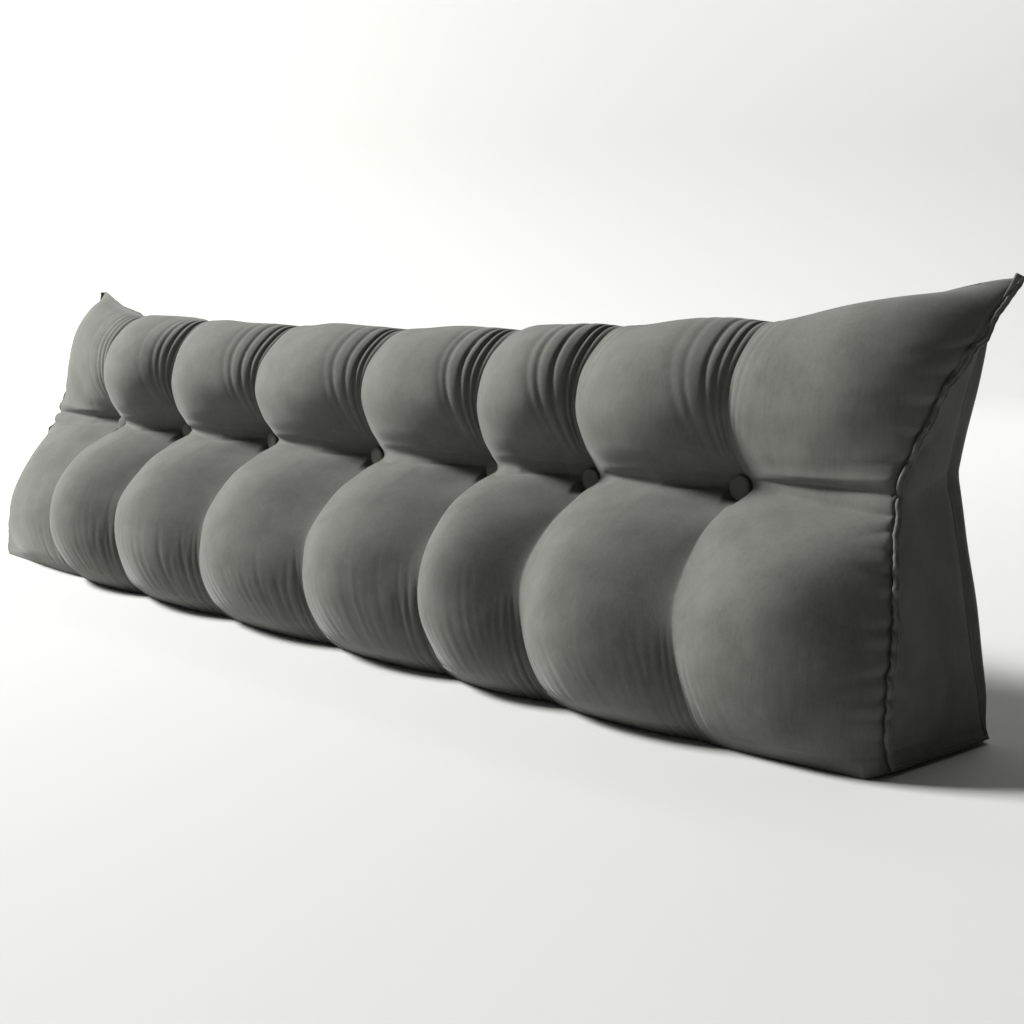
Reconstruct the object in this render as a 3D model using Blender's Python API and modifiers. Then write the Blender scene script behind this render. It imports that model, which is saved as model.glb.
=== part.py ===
"""Wedge backrest pillow with a row of covered buttons, standing on its base.

+X runs along the pillow, -Y is the buttoned front, +Z is up. The origin is at the middle of the
pillow's box, on the surface that it stands on.
"""
import math

import bmesh
import bpy
import numpy as np
from mathutils import Matrix, Vector

# Driving sizes, in metres
LENGTH = 1.998
TOP_MIDDLE = 0.442
TOP_OUTER_FOLD = 0.459
EAR_HEIGHT = 0.501
END_PULL_IN = 0.048
END_PULL_HEIGHT = 0.290
END_PULL_REACH = 0.230
END_DISH = 0.004
LEFT_SEAM_SHIFT = 0.016
RIGHT_SEAM_SHIFT = -0.003
FOLD_LEAN = 0.058
BELLY_TAPER = 0.015
UNDERSIDE_ROUNDING = 0.10
BOX_MIDDLE_Y = -0.1461

# How full the lobes at the two ends are, below and above the row of buttons, and on the back. The
# others are 1
LEFT_LOBE = (0.42, 0.30)
RIGHT_LOBE = (0.55, 0.45)
BACK_LOBE = 1.15
END_SHAPE = 0.85
END_SHAPE_BACK = 0.50

# How upright the lobes stand beside a fold: 0.5 is a round lobe, 1.0 a soft slope
LOBE_SHAPE = 0.80
WAIST_SHAPE_LEFT = 0.85
WAIST_SHAPE_RIGHT = 1.10
WAIST_HEIGHT = 0.262
WAIST_REACH = 0.046
BELLY_HEIGHT = 0.160
BELLY_REACH = 0.070

# How much softer each lobe starts at the belly, on its left side. The right sides share one value
BELLY_LEFT = (0.0, 0.30, 0.30, 0.30, 0.35, 0.55, 0.80, 0.90)
BELLY_RIGHT = 0.55

# Covered buttons, from left to right. They are sewn about 0.24 apart, as unevenly as on the real one.
# Columns: place along the pillow, rise above the row's usual height
BUTTONS = (
    (-0.704, 0.002),
    (-0.480, 0.002),
    (-0.220, 0.002),
    (0.054, -0.004),
    (0.309, -0.004),
    (0.494, -0.002),
    (0.734, 0.008),
)
BUTTON_ROW_HEIGHT = 0.256
BUTTON_RADIUS = 0.0145
BUTTON_THICKNESS = 0.009
BUTTON_ROUNDING = 0.003
SOCKET_RADIUS = 0.0160
SOCKET_MOUTH_RADIUS = 0.0290
SOCKET_DEPTH = 0.002
SOCKET_LENGTH = 0.032
CLEARANCE = 0.0004

# Raised seam around each end panel
WELT_HEIGHT = 0.0022
WELT_WIDTH = 0.0028
WELT_GAP = 0.0006

# Colours of the cloth where it is stretched, on the buttons and along the seams
CLOTH_COLOUR = (0.135, 0.138, 0.128)
BUTTON_COLOUR = (0.090, 0.092, 0.086)
WELT_COLOUR = (0.110, 0.112, 0.105)

# Mesh steps
STEPS_PER_LOBE = 10
PANEL_ROWS = 20
FLOOR_ROWS = 6
WELT_SIDES = 6

# Lines that run along the pillow, each as y and z on three sections: in the fold that runs through
# a button, on the crown between two buttons, and on the seam of the end panel.
# Columns: name, fold y, fold z, crown y, crown z, seam y, seam z
FLOOR_LINES = (
    ("back_edge", 0.002, 0.003, 0.006, 0.003, -0.004, 0.005),
    ("floor_back", -0.030, 0.000, -0.030, 0.000, -0.040, 0.004),
    ("floor_middle", -0.110, 0.000, -0.115, 0.000, -0.100, 0.004),
    ("floor_front", -0.200, 0.000, -0.215, 0.000, -0.160, 0.004),
    ("front_edge", -0.236, 0.000, -0.249, 0.000, -0.190, 0.005),
)
FRONT_LINES = (
    ("front_edge", -0.236, 0.000, -0.249, 0.000, -0.190, 0.005),
    ("low_belly", -0.260, 0.035, -0.298, 0.038, -0.199, 0.050),
    ("belly", -0.268, 0.090, -0.322, 0.100, -0.190, 0.095),
    ("high_belly", -0.250, 0.150, -0.302, 0.165, -0.168, 0.150),
    ("under_waist", -0.190, 0.206, -0.246, 0.218, -0.152, 0.205),
    ("low_waist", -0.142, 0.236, -0.187, 0.247, -0.140, 0.237),
    ("waist", -0.107, 0.256, -0.147, 0.264, -0.131, 0.262),
    ("high_waist", -0.110, 0.275, -0.158, 0.281, -0.122, 0.282),
    ("over_waist", -0.123, 0.300, -0.175, 0.305, -0.111, 0.305),
    ("chest", -0.134, 0.338, -0.184, 0.345, -0.095, 0.345),
    ("high_chest", -0.127, 0.376, -0.166, 0.390, -0.070, 0.392),
    ("shoulder", -0.101, 0.410, -0.134, 0.421, -0.038, 0.430),
    ("crest", -0.068, 0.432, -0.088, 0.440, -0.008, 0.463),
    ("ridge", -0.030, 0.432, -0.030, 0.437, 0.019, 0.500),
)
BACK_LINES = (
    ("ridge", -0.030, 0.432, -0.030, 0.437, 0.019, 0.500),
    ("back_crest", -0.004, 0.412, 0.000, 0.415, 0.006, 0.468),
    ("back_shoulder", 0.004, 0.375, 0.016, 0.376, -0.014, 0.430),
    ("back_chest", -0.004, 0.325, 0.022, 0.325, -0.020, 0.370),
    ("back_waist", -0.018, 0.262, 0.012, 0.262, -0.017, 0.290),
    ("back_belly", 0.002, 0.190, 0.022, 0.190, -0.019, 0.190),
    ("back_low", 0.012, 0.100, 0.024, 0.100, -0.023, 0.095),
    ("back_edge", 0.002, 0.003, 0.006, 0.003, -0.004, 0.005),
)


def clear_scene():
    """Removes whatever the file opened with."""
    for obj in list(bpy.data.objects):
        bpy.data.objects.remove(obj, do_unlink=True)


def material(name, colour, roughness):
    """A plain cloth finish."""
    made = bpy.data.materials.new(name)
    made.use_nodes = True
    shader = made.node_tree.nodes["Principled BSDF"]
    shader.inputs["Base Color"].default_value = (*colour, 1.0)
    shader.inputs["Roughness"].default_value = roughness
    shader.inputs["Metallic"].default_value = 0.0
    return made


def ease(value):
    """0 to 1 with a smooth start and end."""
    clipped = np.clip(value, 0.0, 1.0)
    return clipped * clipped * (3.0 - 2.0 * clipped)


def along(points, rows):
    """A smooth curve through the points, read at evenly spaced rows."""
    points = np.asarray(points, float)
    ends = np.vstack([2 * points[0] - points[1], points, 2 * points[-1] - points[-2]])
    read = np.linspace(0, len(points) - 1, rows)
    first = np.minimum(read.astype(int), len(points) - 2)
    t = (read - first)[:, None]
    before, start, stop, after = (ends[first + k] for k in range(4))
    return 0.5 * (
        2 * start
        + (stop - before) * t
        + (2 * before - 5 * start + 4 * stop - after) * t**2
        + (3 * start - before - 3 * stop + after) * t**3
    )


def section_rows(lines, rows):
    """The fold, crown and seam sections of one panel, each as rows of (y, z)."""
    table = np.array([line[1:] for line in lines])
    return [along(table[:, 2 * k : 2 * k + 2], rows) for k in range(3)]


def top_line(x):
    """Height of the pillow's top along its length: lowest in the middle, highest at the ears."""
    outer = max(abs(BUTTONS[0][0]), BUTTONS[-1][0])
    if abs(x) < outer:
        return TOP_MIDDLE + (TOP_OUTER_FOLD - TOP_MIDDLE) * (x / outer) ** 2
    share = (abs(x) - outer) / (LENGTH / 2 - outer)
    return TOP_OUTER_FOLD + (EAR_HEIGHT - TOP_OUTER_FOLD) * share**1.5


def stretched(section, x):
    """A section with its upper part raised or lowered to the top line at x, and its belly tapered."""
    y, z = section[:, 0].copy(), section[:, 1].copy()
    tallest = 0.440
    z += (top_line(x) - tallest) * ease((z - 0.24) / (tallest - 0.24))
    y += BELLY_TAPER * min(1.0, abs(x) / LENGTH * 2) ** 2 * ease(-y / 0.2) * ease((0.32 - z) / 0.2)
    return np.column_stack([y, z])


def risen(section, rise):
    """A fold's section with its waist moved up to where its own button is sewn."""
    near = np.exp(-(((section[:, 1] - BUTTON_ROW_HEIGHT) / 0.07) ** 2))
    return section + np.column_stack([np.zeros(len(section)), rise * near])


def pull_in(z):
    """How far the end seam is drawn in at a height, where the outer button pulls on it."""
    reach = np.clip(1.0 - np.abs(z - END_PULL_HEIGHT) / END_PULL_REACH, 0.0, 1.0)
    return END_PULL_IN * reach**1.25


def shifted(seam, distance):
    """An end seam with the middle of its front run moved, as one end stands fuller than the other."""
    front = ease(-seam[:, 0] / 0.08) * ease((seam[:, 1] - 0.05) / 0.15)
    return seam + np.column_stack([distance * front, np.zeros(len(seam))])


def lean(z):
    """How far a fold has wandered along the pillow at a height."""
    return FOLD_LEAN * ease((0.25 - z) / 0.25)


def lobe_steps():
    """Places across a lobe, from -1 to 1, close together where the cloth turns into a fold."""
    return [-math.cos(math.pi * k / STEPS_PER_LOBE) for k in range(STEPS_PER_LOBE + 1)]


def lobe_height(lobe, share, z):
    """Height of a lobe between two folds: 0 in the fold and 1 on the crown, softer at waist and belly."""
    waist = np.exp(-(((z - WAIST_HEIGHT) / WAIST_REACH) ** 2))
    belly = np.exp(-(((z - BELLY_HEIGHT) / BELLY_REACH) ** 2))
    waist_shape, softer = (WAIST_SHAPE_LEFT, BELLY_LEFT[lobe]) if share < 0 else (WAIST_SHAPE_RIGHT, BELLY_RIGHT)
    shape = LOBE_SHAPE + (waist_shape - LOBE_SHAPE) * waist + softer * belly * (1.0 - waist)
    return (1.0 - share * share) ** shape


def back_share(z, on_back):
    """How far the back's own fullness counts at a height: not at the ridge and the floor, which it shares."""
    return ease((EAR_HEIGHT - z) / 0.08) * ease(z / 0.05) if on_back else np.zeros(len(z))


def end_height(share, z, on_back):
    """Height of an end lobe beside the end seam: a rounded start, quicker on the back and underneath."""
    shape = END_SHAPE + (END_SHAPE_BACK - END_SHAPE) * back_share(z, on_back)
    slow = (1.0 - share * share) ** shape
    quick = min(1.0, (1.0 - abs(share)) / UNDERSIDE_ROUNDING) ** 0.5
    floor = np.exp(-((z / 0.030) ** 2))
    return slow * (1.0 - floor) + quick * floor


def flattened(crown, low_edge, high_edge, share, fullness, on_back):
    """The crown of an end lobe, brought closer to the straight line between its two edges."""
    low, high = fullness
    between = low_edge + (high_edge - low_edge) * (share + 1) / 2
    fullness = low + (high - low) * ease((crown[:, 1] - 0.2) / 0.1)
    fullness += (BACK_LOBE - fullness) * back_share(crown[:, 1], on_back)
    y = between[:, 0] + (crown[:, 0] - between[:, 0]) * fullness
    return np.column_stack([y, crown[:, 1]])


def column(lobe, share, sections, on_back):
    """One section of the pillow, as rows of (x, y, z), at a place across a lobe."""
    fold, crown, seam = sections
    x_low = BUTTONS[lobe - 1][0] if lobe > 0 else -LENGTH / 2
    x_high = BUTTONS[lobe][0] if lobe < len(BUTTONS) else LENGTH / 2
    x = (x_low + x_high) / 2 + share * (x_high - x_low) / 2
    seam = shifted(seam, LEFT_SEAM_SHIFT if lobe == 0 else RIGHT_SEAM_SHIFT)
    low_edge = stretched(risen(fold, BUTTONS[lobe - 1][1]), x_low) if lobe > 0 else seam
    high_edge = stretched(risen(fold, BUTTONS[lobe][1]), x_high) if lobe < len(BUTTONS) else seam
    high = stretched(crown, x)
    end_share = 0.0
    if lobe == 0:
        end_share = (1.0 - share) / 2
    if lobe == len(BUTTONS):
        end_share = (1.0 + share) / 2
    if lobe == 0:
        high = flattened(high, low_edge, high_edge, share, LEFT_LOBE, on_back)
    if lobe == len(BUTTONS):
        high = flattened(high, low_edge, high_edge, share, RIGHT_LOBE, on_back)
    edge = low_edge if share < 0 else high_edge
    by_the_end = end_share > 0.5
    height = end_height(share, edge[:, 1], on_back) if by_the_end else lobe_height(lobe, share, edge[:, 1])
    yz = edge + (high - edge) * height[:, None]
    yz[:, 1] = np.maximum(yz[:, 1], 0.0)
    drawn_in = math.copysign(1.0, x) * pull_in(yz[:, 1]) * end_share ** (1.5 + 3.5 * back_share(yz[:, 1], on_back))
    return np.column_stack([x + lean(yz[:, 1]) * (1.0 - end_share) - drawn_in, yz])


def all_columns(lines, rows):
    """Every section of one panel, from the left end to the right."""
    sections = section_rows(lines, rows)
    on_back = lines is BACK_LINES
    made = []
    for lobe in range(len(BUTTONS) + 1):
        steps = lobe_steps() if lobe == len(BUTTONS) else lobe_steps()[:-1]
        made.extend(column(lobe, share, sections, on_back) for share in steps)
    return np.array(made)


def to_row_frame(points):
    """From the sections' own y, counted from the back seam, to the y of the part's frame."""
    return points + np.array([0.0, -BOX_MIDDLE_Y, 0.0])


def cushion_columns():
    """The closed sections of the pillow: floor, front and back, with shared corner points once."""
    floor = all_columns(FLOOR_LINES, FLOOR_ROWS)
    front = all_columns(FRONT_LINES, PANEL_ROWS)
    back = all_columns(BACK_LINES, PANEL_ROWS)
    loop = np.concatenate([floor[:, :-1], front[:, :-1], back[:, :-1]], axis=1)
    return to_row_frame(loop)


def end_panel(made, ring, side):
    """Closes an end with a panel: rows from the floor seam up to the ear, dished a little."""
    corner = FLOOR_ROWS - 1
    ridge = corner + PANEL_ROWS - 1
    count = len(ring)
    row = ring[: corner + 1]
    for k in range(1, PANEL_ROWS - 1):
        back, front = ring[(count - k) % count], ring[corner + k]
        above = [back]
        for step in range(1, corner):
            share = step / corner
            point = back.co.lerp(front.co, share)
            point.x -= side * END_DISH * math.sin(math.pi * share) * math.sin(math.pi * k / PANEL_ROWS)
            above.append(made.verts.new(point))
        above.append(front)
        for step in range(corner):
            made.faces.new((row[step], row[step + 1], above[step + 1], above[step]))
        row = above
    for step in range(corner):
        made.faces.new((row[step], row[step + 1], ring[ridge]))


def loft(columns):
    """The pillow's skin from its sections, closed by an end panel at each end."""
    made = bmesh.new()
    rings = [[made.verts.new(point) for point in loop] for loop in columns]
    count = len(rings[0])
    for left, right in zip(rings, rings[1:]):
        for k in range(count):
            n = (k + 1) % count
            made.faces.new((left[k], right[k], right[n], left[n]))
    end_panel(made, rings[0], -1.0)
    end_panel(made, rings[-1], 1.0)
    bmesh.ops.recalc_face_normals(made, faces=made.faces)
    return made


def outward(loop):
    """Directions in the section's plane that point out of a closed loop, one at each of its points."""
    tangent = np.roll(loop, -1, axis=0) - np.roll(loop, 1, axis=0)
    tangent /= np.linalg.norm(tangent, axis=1)[:, None]
    turned = np.column_stack([tangent[:, 1], -tangent[:, 0]])
    middle = loop.mean(axis=0)
    sign = np.sign(np.sum(turned * (loop - middle)))
    return turned * sign


def welt(loop, side):
    """A raised strip that runs once around an end panel, just outside its seam."""
    away = outward(loop[:, 1:])
    made = bmesh.new()
    rings = []
    for point, direction in zip(loop, away):
        ring = []
        for k in range(WELT_SIDES):
            angle = 2 * math.pi * k / WELT_SIDES
            x = point[0] + side * (WELT_HEIGHT + WELT_GAP + WELT_HEIGHT * math.cos(angle))
            y = point[1] + WELT_WIDTH * math.sin(angle) * direction[0]
            z = point[2] + WELT_WIDTH * math.sin(angle) * direction[1]
            ring.append(made.verts.new((x, y, z)))
        rings.append(ring)
    for here, there in zip(rings, rings[1:] + rings[:1]):
        for k in range(WELT_SIDES):
            n = (k + 1) % WELT_SIDES
            made.faces.new((here[k], there[k], there[n], here[n]))
    bmesh.ops.recalc_face_normals(made, faces=made.faces)
    return made


def button_places():
    """The point of the fold that each button is sewn to, in the part's frame."""
    fold = section_rows(FRONT_LINES, 53)[0]
    places = []
    for x, rise in BUTTONS:
        section = stretched(risen(fold, rise), x)
        nearest = np.argmin(np.abs(section[:, 1] - BUTTON_ROW_HEIGHT - rise))
        places.append(to_row_frame(np.array([x, *section[nearest]])))
    return places


def turned_cone(made, low_radius, high_radius, height, place, segments):
    """A cone that stands on place and points out of the front of the pillow."""
    turn = Matrix.Rotation(math.radians(90), 4, "X")
    middle = Vector(place) + Vector((0.0, -height / 2, 0.0))
    bmesh.ops.create_cone(
        made,
        cap_ends=True,
        segments=segments,
        radius1=low_radius,
        radius2=high_radius,
        depth=height,
        matrix=Matrix.Translation(middle) @ turn,
    )


def sockets(places):
    """The hollows that the buttons have pulled into the folds."""
    made = bmesh.new()
    for place in places:
        seat = place + np.array([0.0, SOCKET_DEPTH, 0.0])
        turned_cone(made, SOCKET_RADIUS, SOCKET_MOUTH_RADIUS, SOCKET_LENGTH, seat, 24)
    return made


def button(place):
    """A covered button: a short disc with a rounded face."""
    made = bmesh.new()
    seat = place + np.array([0.0, SOCKET_DEPTH - CLEARANCE, 0.0])
    turned_cone(made, BUTTON_RADIUS, BUTTON_RADIUS, BUTTON_THICKNESS, seat, 24)
    return made


def as_object(name, made, parts, finish):
    """A bmesh as a named object in the parts' collection."""
    mesh = bpy.data.meshes.new(name)
    made.to_mesh(mesh)
    made.free()
    mesh.materials.append(finish)
    obj = bpy.data.objects.new(name, mesh)
    parts.objects.link(obj)
    return obj


def main():
    clear_scene()
    parts = bpy.data.collections.new("backrest_pillow")
    guides = bpy.data.collections.new("cutters")
    bpy.context.scene.collection.children.link(parts)
    bpy.context.scene.collection.children.link(guides)

    columns = cushion_columns()
    places = button_places()
    cloth = material("grey_cloth", CLOTH_COLOUR, 0.9)
    cushion = as_object("cushion", loft(columns), parts, cloth)

    cutter = as_object("button_sockets", sockets(places), guides, cloth)
    cutter.hide_render = True
    cutter.display_type = "WIRE"
    cut = cushion.modifiers.new("sockets", "BOOLEAN")
    cut.operation = "DIFFERENCE"
    cut.solver = "EXACT"
    cut.object = cutter

    for number, place in enumerate(places, start=1):
        name = "button_%d" % number
        disc = as_object(name, button(place), parts, material(name, BUTTON_COLOUR, 0.85))
        rounding = disc.modifiers.new("rounding", "BEVEL")
        rounding.width = BUTTON_ROUNDING
        rounding.segments = 2
        rounding.limit_method = "ANGLE"
        disc.data.polygons.foreach_set("use_smooth", [True] * len(disc.data.polygons))

    for name, loop, side in (("left", columns[0], -1.0), ("right", columns[-1], 1.0)):
        finish = material("seam_welt_" + name, WELT_COLOUR, 0.9)
        as_object("seam_welt_" + name, welt(loop, side), parts, finish)


main()
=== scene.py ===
"""Backrest pillow: a long filled wedge in brushed grey cloth, tufted with a row of covered buttons.

+X runs along the pillow, -Y is the buttoned front and +Z is up. All sizes are in metres.
"""
import math

import bmesh
import bpy
import numpy as np
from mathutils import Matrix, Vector


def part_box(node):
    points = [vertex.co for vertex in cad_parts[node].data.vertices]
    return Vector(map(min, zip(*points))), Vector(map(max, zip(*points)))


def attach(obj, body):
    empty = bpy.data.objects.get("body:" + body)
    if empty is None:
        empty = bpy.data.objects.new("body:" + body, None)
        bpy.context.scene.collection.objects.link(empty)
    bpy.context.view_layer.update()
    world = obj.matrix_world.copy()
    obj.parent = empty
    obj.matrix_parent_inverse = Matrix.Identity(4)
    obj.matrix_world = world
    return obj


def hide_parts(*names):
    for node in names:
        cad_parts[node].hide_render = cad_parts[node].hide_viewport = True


bl_info = {
    "name": "Backrest Pillow",
    "version": (1, 0, 0),
    "blender": (4, 5, 0),
    "location": "View3D > Sidebar > Pillow",
    "description": "Builds a tufted wedge backrest pillow with covered buttons and sewn end panels",
    "category": "Add Mesh",
}

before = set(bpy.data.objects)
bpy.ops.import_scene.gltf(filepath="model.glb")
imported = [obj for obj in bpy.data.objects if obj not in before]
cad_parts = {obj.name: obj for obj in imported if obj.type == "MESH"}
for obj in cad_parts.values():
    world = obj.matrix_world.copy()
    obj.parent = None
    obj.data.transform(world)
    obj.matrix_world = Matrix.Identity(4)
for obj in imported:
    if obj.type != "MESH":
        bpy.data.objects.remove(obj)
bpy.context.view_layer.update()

# Sizes of the sewn and filled form
LENGTH = 1.998
TOP_MIDDLE = 0.442
TOP_OUTER_FOLD = 0.459
EAR_HEIGHT = 0.501
END_PULL_IN = 0.048
END_PULL_HEIGHT = 0.290
END_PULL_REACH = 0.230
END_DISH = 0.004
LEFT_SEAM_SHIFT = 0.016
RIGHT_SEAM_SHIFT = -0.003
FOLD_LEAN = 0.058
BELLY_TAPER = 0.015
UNDERSIDE_ROUNDING = 0.10
BOX_MIDDLE_Y = -0.1461
# The lobes next to the ends are flatter than the others. Each: below and above the row of buttons
LEFT_LOBE = (0.42, 0.30)
RIGHT_LOBE = (0.55, 0.45)
BACK_LOBE = 1.15
END_SHAPE = 0.85
END_SHAPE_BACK = 0.50
LOBE_SHAPE = 0.80
WAIST_SHAPE_LEFT = 0.85
WAIST_SHAPE_RIGHT = 1.10
WAIST_HEIGHT = 0.262
WAIST_REACH = 0.046
BELLY_HEIGHT = 0.160
BELLY_REACH = 0.070
# How much softer each lobe starts at the belly, on its left side. The right sides share one value
BELLY_LEFT = (0.0, 0.30, 0.30, 0.30, 0.35, 0.55, 0.80, 0.90)
BELLY_RIGHT = 0.55

# Covered buttons, left to right. Columns: place along the pillow, rise above the row's usual height
BUTTONS = (
    (-0.704, 0.002),
    (-0.480, 0.002),
    (-0.220, 0.002),
    (0.054, -0.004),
    (0.309, -0.004),
    (0.494, -0.002),
    (0.734, 0.008),
)
BUTTON_ROW_HEIGHT = 0.256
LOBES = len(BUTTONS) + 1

# Lines that run along the pillow, each as y and z on three sections: in the fold that runs through
# a button, on the crown between two buttons, and on the seam of the end panel.
# Columns: name, fold y, fold z, crown y, crown z, seam y, seam z
FLOOR_LINES = (
    ("back_edge", 0.002, 0.003, 0.006, 0.003, -0.004, 0.005),
    ("floor_back", -0.030, 0.000, -0.030, 0.000, -0.040, 0.004),
    ("floor_middle", -0.110, 0.000, -0.115, 0.000, -0.100, 0.004),
    ("floor_front", -0.200, 0.000, -0.215, 0.000, -0.160, 0.004),
    ("front_edge", -0.236, 0.000, -0.249, 0.000, -0.190, 0.005),
)
FRONT_LINES = (
    ("front_edge", -0.236, 0.000, -0.249, 0.000, -0.190, 0.005),
    ("low_belly", -0.260, 0.035, -0.298, 0.038, -0.199, 0.050),
    ("belly", -0.268, 0.090, -0.322, 0.100, -0.190, 0.095),
    ("high_belly", -0.250, 0.150, -0.302, 0.165, -0.168, 0.150),
    ("under_waist", -0.190, 0.206, -0.246, 0.218, -0.152, 0.205),
    ("low_waist", -0.142, 0.236, -0.187, 0.247, -0.140, 0.237),
    ("waist", -0.107, 0.256, -0.147, 0.264, -0.131, 0.262),
    ("high_waist", -0.110, 0.275, -0.158, 0.281, -0.122, 0.282),
    ("over_waist", -0.123, 0.300, -0.175, 0.305, -0.111, 0.305),
    ("chest", -0.134, 0.338, -0.184, 0.345, -0.095, 0.345),
    ("high_chest", -0.127, 0.376, -0.166, 0.390, -0.070, 0.392),
    ("shoulder", -0.101, 0.410, -0.134, 0.421, -0.038, 0.430),
    ("crest", -0.068, 0.432, -0.088, 0.440, -0.008, 0.463),
    ("ridge", -0.030, 0.432, -0.030, 0.437, 0.019, 0.500),
)
BACK_LINES = (
    ("ridge", -0.030, 0.432, -0.030, 0.437, 0.019, 0.500),
    ("back_crest", -0.004, 0.412, 0.000, 0.415, 0.006, 0.468),
    ("back_shoulder", 0.004, 0.375, 0.016, 0.376, -0.014, 0.430),
    ("back_chest", -0.004, 0.325, 0.022, 0.325, -0.020, 0.370),
    ("back_waist", -0.018, 0.262, 0.012, 0.262, -0.017, 0.290),
    ("back_belly", 0.002, 0.190, 0.022, 0.190, -0.019, 0.190),
    ("back_low", 0.012, 0.100, 0.024, 0.100, -0.023, 0.095),
    ("back_edge", 0.002, 0.003, 0.006, 0.003, -0.004, 0.005),
)

# Pleats that run up from each button to the top seam, on the flank of the lobe to its left.
# Columns: distance from the fold at the top, depth, width
PLEATS_ABOVE = (
    (0.010, 0.0034, 0.0022),
    (0.022, 0.0034, 0.0024),
    (0.038, 0.0026, 0.0030),
    (0.058, 0.0018, 0.0038),
    (0.080, 0.0009, 0.0050),
)
# Pleats that run down from the middle of each lobe to the bottom seam, on the same flank
PLEATS_BELOW = (
    (0.009, 0.0030, 0.0024),
    (0.020, 0.0020, 0.0026),
    (0.034, 0.0012, 0.0034),
    (0.052, 0.0007, 0.0045),
)
# Fainter pleats on the other side of each fold
PLEATS_BESIDE = (
    (0.010, 0.0020, 0.0024),
    (0.021, 0.0012, 0.0030),
    (0.036, 0.0008, 0.0040),
    (0.055, 0.0005, 0.0050),
)
# How strongly the bottom seam gathers each lobe
BELLY_STREAKS = (0.3, 0.9, 1.2, 1.2, 0.9, 0.7, 0.6, 0.2)
# How strongly each fold is pleated, above and below its button
PLEAT_STRENGTH = ((0.6, 0.6), (0.9, 0.9), (1.0, 1.2), (0.9, 1.1), (1.3, 1.0), (1.3, 1.2), (0.8, 0.5))

# Gathers along the seams of the end panels: height on the seam, depth, length
END_GATHERS = (
    (0.035, 0.0016, 0.040),
    (0.058, 0.0022, 0.055),
    (0.083, 0.0018, 0.035),
    (0.104, 0.0026, 0.050),
    (0.128, 0.0016, 0.040),
    (0.150, 0.0024, 0.045),
    (0.176, 0.0018, 0.035),
    (0.199, 0.0022, 0.050),
    (0.224, 0.0016, 0.030),
    (0.243, 0.0020, 0.050),
    (0.312, 0.0022, 0.045),
    (0.338, 0.0016, 0.040),
    (0.371, 0.0026, 0.060),
    (0.402, 0.0018, 0.040),
    (0.431, 0.0022, 0.045),
)

# Kinks in the front run of the end seams: height, push, length along the seam
SEAM_KINKS = (
    (0.098, 0.0018, 0.006),
    (0.112, -0.0012, 0.007),
    (0.186, 0.0022, 0.004),
    (0.196, -0.0016, 0.006),
    (0.238, 0.0030, 0.006),
    (0.252, -0.0012, 0.008),
    (0.300, 0.0014, 0.006),
    (0.330, 0.0020, 0.007),
    (0.356, -0.0014, 0.008),
    (0.388, 0.0034, 0.009),
    (0.405, -0.0022, 0.008),
    (0.425, 0.0034, 0.009),
    (0.441, -0.0024, 0.008),
    (0.462, 0.0030, 0.008),
)
# How deep the end seams are drawn in, in front and behind, and the width of the roll beside them
SEAM_DEPTH_FRONT = 0.0030
SEAM_DEPTH_BACK = 0.0060
SEAM_ROLL = 0.0045

# The hollow in the cloth to the left of each button, and the smaller one right around it
HOLLOW_DEPTH = 0.010
HOLLOW_SHIFT = 0.030
HOLLOW_WIDTH = 0.042
HOLLOW_HEIGHT = 0.040
RIM_DEPTH = 0.004

# Unevenness of the filling: its height, its shortest and longest wave, and how many waves cross
UNEVEN_HEIGHT = 0.0014
SHORTEST_WAVE = 0.09
LONGEST_WAVE = 0.30
WAVES = 14

# Mesh rows over the front, the back and the base, and points along an end seam
FRONT_ROWS = 260
BACK_ROWS = 56
FLOOR_ROWS = 14
SEAM_POINTS = 900

# Lamps, each as place, aim, size in metres, power in watts and colour
KEY_LAMP = ((-7.4, -4.2, 6.0), (0.0, -0.1, 0.2), 2.6, 2500.0, (1.0, 1.0, 0.985))
BACKDROP_LAMP = ((0.0, 4.6, 6.4), (0.0, 7.6, 3.2), 4.0, 300.0, (1.0, 1.0, 1.0))
ROOM_LIGHT = 0.04
# The camera: its place, how far it looks left of +Y and below level in radians, and its lens in mm
CAMERA_PLACE = (1.8932, -1.5084 - BOX_MIDDLE_Y, 0.4693)
CAMERA_AZIMUTH = 0.83573
CAMERA_PITCH = 0.12856
CAMERA_LENS = 55.68

# The skin's places along each end seam, which the cushion leaves for the raised seams
SEAMS = {}


def linear(hex_colour):
    """An sRGB hex colour as the linear values that a shader takes."""
    channels = [int(hex_colour[k : k + 2], 16) / 255 for k in (1, 3, 5)]
    return tuple(c / 12.92 if c <= 0.04045 else ((c + 0.055) / 1.055) ** 2.4 for c in channels)


# The form, as places on a grid

def ease(value):
    """0 to 1 with a smooth start and end."""
    clipped = np.clip(value, 0.0, 1.0)
    return clipped * clipped * (3.0 - 2.0 * clipped)


def along(points, rows):
    """A smooth curve through the points, read at evenly spaced rows."""
    points = np.asarray(points, float)
    ends = np.vstack([2 * points[0] - points[1], points, 2 * points[-1] - points[-2]])
    read = np.linspace(0, len(points) - 1, rows)
    first = np.minimum(read.astype(int), len(points) - 2)
    t = (read - first)[:, None]
    before, start, stop, after = (ends[first + k] for k in range(4))
    return 0.5 * (
        2 * start
        + (stop - before) * t
        + (2 * before - 5 * start + 4 * stop - after) * t**2
        + (3 * start - before - 3 * stop + after) * t**3
    )


def section_rows(lines, rows):
    """The fold, crown and seam sections of one panel, each as rows of (y, z)."""
    table = np.array([line[1:] for line in lines])
    return [along(table[:, 2 * k : 2 * k + 2], rows) for k in range(3)]


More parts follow.
